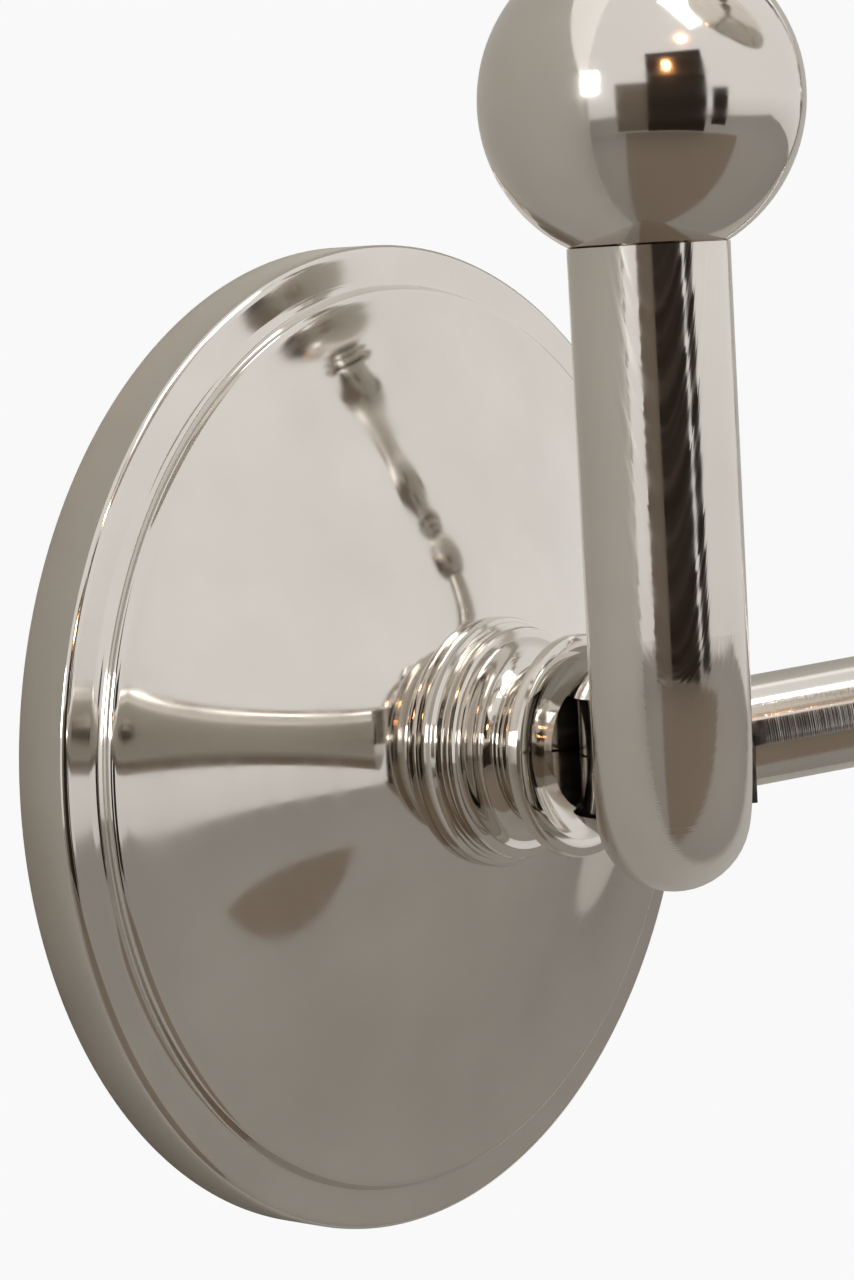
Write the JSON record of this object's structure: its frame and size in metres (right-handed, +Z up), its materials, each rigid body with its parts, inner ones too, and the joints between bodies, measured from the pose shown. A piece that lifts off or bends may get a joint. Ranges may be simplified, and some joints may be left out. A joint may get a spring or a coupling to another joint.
{
  "type": "extendable shaving mirror",
  "caption": "Wall-mounted round shaving mirror on a domed rose, carried by paired turned-post arms that extend and fold, with a tilting head.",
  "frame": {"origin": "centre of the wall bracket's two fixing holes, on the wall plane", "axes": "+Z up, -Y out from the wall into the room, +X to the right of a person facing the wall"},
  "size_m": [0.215, 0.246, 0.377],
  "materials": {
    "polished_nickel": "polished warm nickel",
    "mirror_glass": "silvered glass",
    "gasket": "matt",
    "bracket_steel": "zinc plated",
    "screw_steel": "stainless"
  },
  "bodies": {
    "wall": {"backplate": "polished_nickel", "wall_bracket": "bracket_steel", "rose_grub_screw": "screw_steel", "base_collar": "polished_nickel", "ribbed_washer": "polished_nickel", "trumpet": "polished_nickel", "wall_spigot": "polished_nickel", "wall_hub_ball": "polished_nickel", "wall_hub_pin": "polished_nickel"},
    "left_lower": {"left_lower_tongue": "polished_nickel", "left_lower_tube": "polished_nickel", "left_lower_ball": "polished_nickel", "left_lower_rings": "polished_nickel", "left_lower_bell": "polished_nickel", "left_elbow_pin": "screw_steel"},
    "right_lower": {"right_lower_tongue": "polished_nickel", "right_lower_tube": "polished_nickel", "right_lower_ball": "polished_nickel", "right_lower_rings": "polished_nickel", "right_lower_bell": "polished_nickel", "right_elbow_pin": "screw_steel"},
    "left_upper": {"left_upper_tongue": "polished_nickel", "left_upper_tube": "polished_nickel", "left_upper_ball": "polished_nickel", "left_upper_rings": "polished_nickel", "left_upper_bell": "polished_nickel", "left_elbow_barrel": "polished_nickel"},
    "right_upper": {"right_upper_tongue": "polished_nickel", "right_upper_tube": "polished_nickel", "right_upper_ball": "polished_nickel", "right_upper_rings": "polished_nickel", "right_upper_bell": "polished_nickel", "right_elbow_barrel": "polished_nickel"},
    "front": {"front_hub_ball": "polished_nickel", "front_hub_pin": "polished_nickel", "front_collar": "polished_nickel", "tilt_fork": "polished_nickel", "tilt_pin": "polished_nickel", "tilt_knobs": "polished_nickel"},
    "mirror": {"mirror_eye": "polished_nickel", "mirror_back_shell": "polished_nickel", "glass_gasket": "gasket", "mirror_glass": "mirror_glass", "mirror_rim": "polished_nickel"}
  },
  "joints": [
    {"name": "left_arm_swing", "type": "hinge", "parent": "wall", "child": "left_lower", "pos_m": [0, -0.0403, 0], "axis": [0, 0, 1], "range_deg": [-26, 20]},
    {"name": "right_arm_swing", "type": "hinge", "parent": "wall", "child": "right_lower", "pos_m": [0, -0.0403, 0], "axis": [0, 0, 1], "range_deg": [-20, 26]},
    {"name": "left_elbow", "type": "hinge", "parent": "left_lower", "child": "left_upper", "pos_m": [-0.09546, -0.10966, 0.112], "axis": [0, 0, 1], "range_deg": [-40, 52]},
    {"name": "right_elbow", "type": "hinge", "parent": "right_lower", "child": "right_upper", "pos_m": [0.09546, -0.10966, 0.112], "axis": [0, 0, 1], "range_deg": [-52, 40]},
    {"name": "front_hub_turn", "type": "hinge", "parent": "left_upper", "child": "front", "pos_m": [0, -0.17902, 0.224], "axis": [0, 0, 1], "range_deg": [-26, 20]},
    {"name": "mirror_tilt", "type": "hinge", "parent": "front", "child": "mirror", "pos_m": [0, -0.21842, 0.224], "axis": [1, 0, 0], "range_deg": [-20, 20]}
  ],
  "couplings": [
    {"joint": "right_arm_swing", "follows": "left_arm_swing", "ratio": -1},
    {"joint": "left_elbow", "follows": "left_arm_swing", "ratio": -2},
    {"joint": "right_elbow", "follows": "left_arm_swing", "ratio": 2},
    {"joint": "front_hub_turn", "follows": "left_arm_swing", "ratio": 1}
  ]
}
